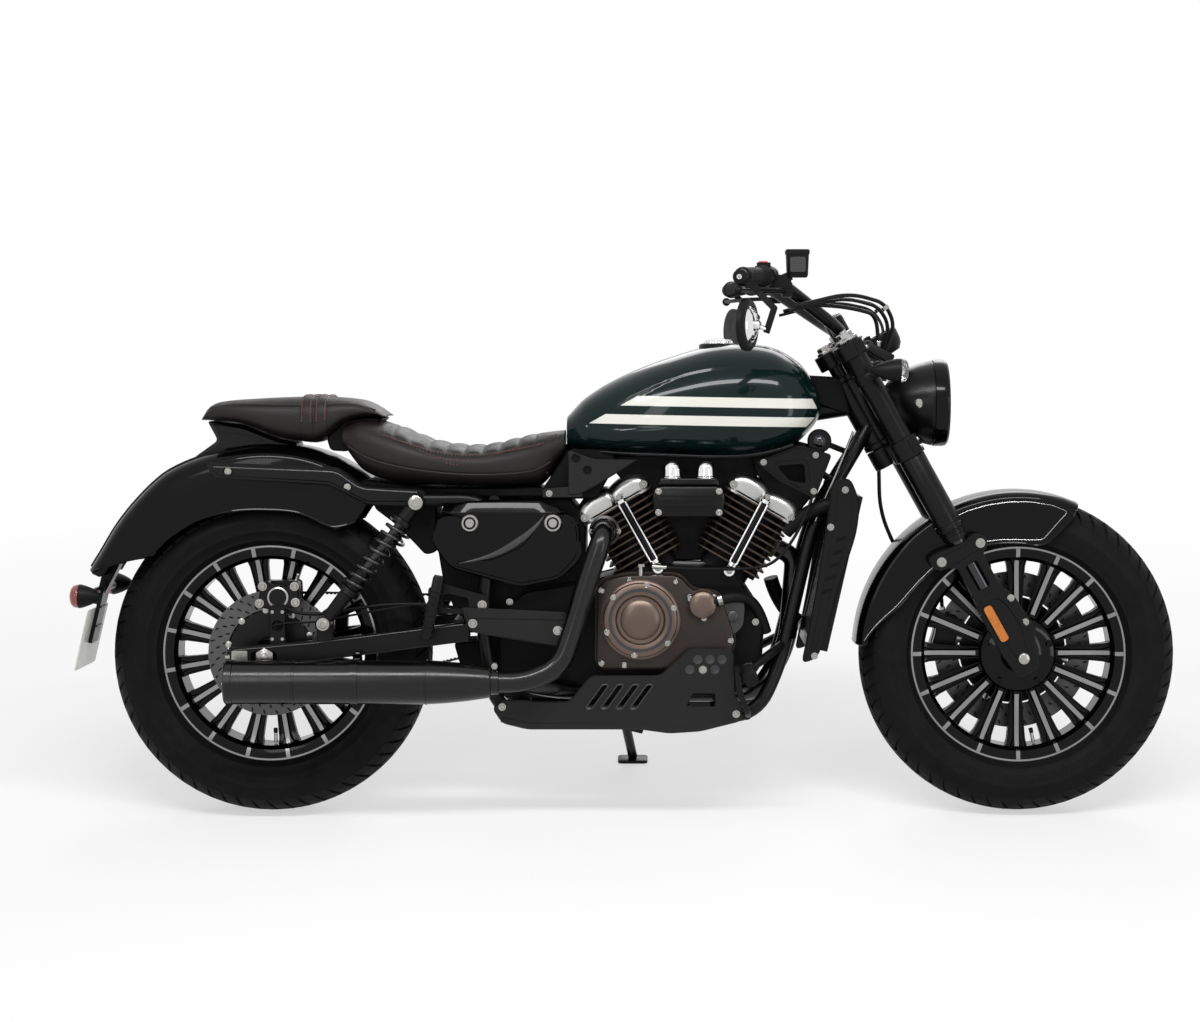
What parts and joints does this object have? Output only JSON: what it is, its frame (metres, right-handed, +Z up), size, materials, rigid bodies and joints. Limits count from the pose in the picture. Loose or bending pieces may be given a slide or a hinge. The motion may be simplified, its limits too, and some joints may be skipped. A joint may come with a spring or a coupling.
{
  "type": "cruiser motorcycle",
  "caption": "Cruiser motorcycle with a V-twin engine, cast multi-spoke wheels, teardrop tank, stepped seat and twin rear shocks, leaning on its side stand.",
  "frame": {"origin": "on the floor under the middle of the overall box, with the machine leaning on its side stand", "axes": "+X forward, +Y to the rider's left, which is the side it leans to, +Z up"},
  "size_m": [2.2176, 0.9488, 1.1603],
  "materials": {
    "black_paint": "gloss black enamel",
    "green_paint": "gloss dark green with off-white stripes",
    "satin_black": "satin black coating",
    "satin_silver": "satin silver coating",
    "bronze_grey": "dark bronze-grey casting",
    "chrome": "bright chrome plate",
    "steel": "brushed steel",
    "tyre": "matt black tyre rubber",
    "rubber": "black rubber",
    "seat_leather": "dark grey-brown leather with reddish stitching",
    "black_plastic": "black plastic",
    "lens": "clear lens",
    "amber": "amber reflector plastic",
    "plate": "blank white plate"
  },
  "bodies": {
    "chassis": {"alternator_cover": "bronze_grey", "belly_guard": "satin_black", "clutch_cover": "bronze_grey", "cylinders": "satin_black", "drive_belt": "rubber", "engine_case": "satin_black", "exhaust_header": "satin_black", "fender_struts": "satin_black", "frame": "satin_black", "frame_covers": "satin_black", "fuel_cap": "chrome", "fuel_tank": "green_paint", "head_covers": "satin_silver", "head_plates": "satin_black", "intake_box": "satin_black", "muffler": "satin_black", "number_plate": "plate", "passenger_pad": "seat_leather", "passenger_pegs": "rubber", "plate_bracket": "satin_black", "pushrod_covers": "chrome", "radiator": "satin_black", "radiator_covers": "satin_black", "rear_axle": "steel", "rear_caliper": "satin_black", "rear_fender": "black_paint", "rear_signals": "black_plastic", "rider_pegs": "rubber", "rider_seat": "seat_leather", "shock_springs": "satin_black", "shocks": "satin_black", "side_covers": "black_paint", "swingarm": "satin_black", "tail_cowl": "satin_black"},
    "front_wheel": {"front_tyre": "tyre", "front_rim": "black_paint", "front_disc": "steel"},
    "rear_wheel": {"rear_tyre": "tyre", "rear_rim": "black_paint", "rear_disc": "steel", "rear_pulley": "satin_black"},
    "steering": {"triple_clamps": "satin_black", "fork_tubes": "satin_black", "fork_sliders": "satin_black", "front_axle": "steel", "front_fender": "black_paint", "headlamp": "satin_black", "headlamp_lens": "lens", "instrument": "black_plastic", "front_signals": "black_plastic", "handlebar": "satin_black", "grips": "rubber", "bar_controls": "black_plastic", "mirrors": "black_plastic", "front_caliper": "satin_black", "bar_cables": "rubber", "fork_stanchions": "chrome", "reflectors": "amber"},
    "side_stand": {"side_stand": "satin_black"}
  },
  "joints": [
    {"name": "steering_head", "type": "hinge", "parent": "chassis", "child": "steering", "pos_m": [0.47259, -0.02677, 0.80076], "axis": [-0.4848, 0.1368, 0.8639], "range_deg": [-38, 38]},
    {"name": "front_wheel_spin", "type": "hinge", "parent": "steering", "child": "front_wheel", "pos_m": [0.78877, -0.10309, 0.31888], "axis": [0, 0.9877, -0.1564], "continuous": true},
    {"name": "rear_wheel_spin", "type": "hinge", "parent": "chassis", "child": "rear_wheel", "pos_m": [-0.72123, -0.10262, 0.32184], "axis": [0, 0.9877, -0.1564], "continuous": true},
    {"name": "side_stand_fold", "type": "hinge", "parent": "chassis", "child": "side_stand", "pos_m": [-0.02623, 0.0339, 0.21213], "axis": [0.1198, 0.7945, 0.5953], "range_deg": [0, 95]}
  ]
}
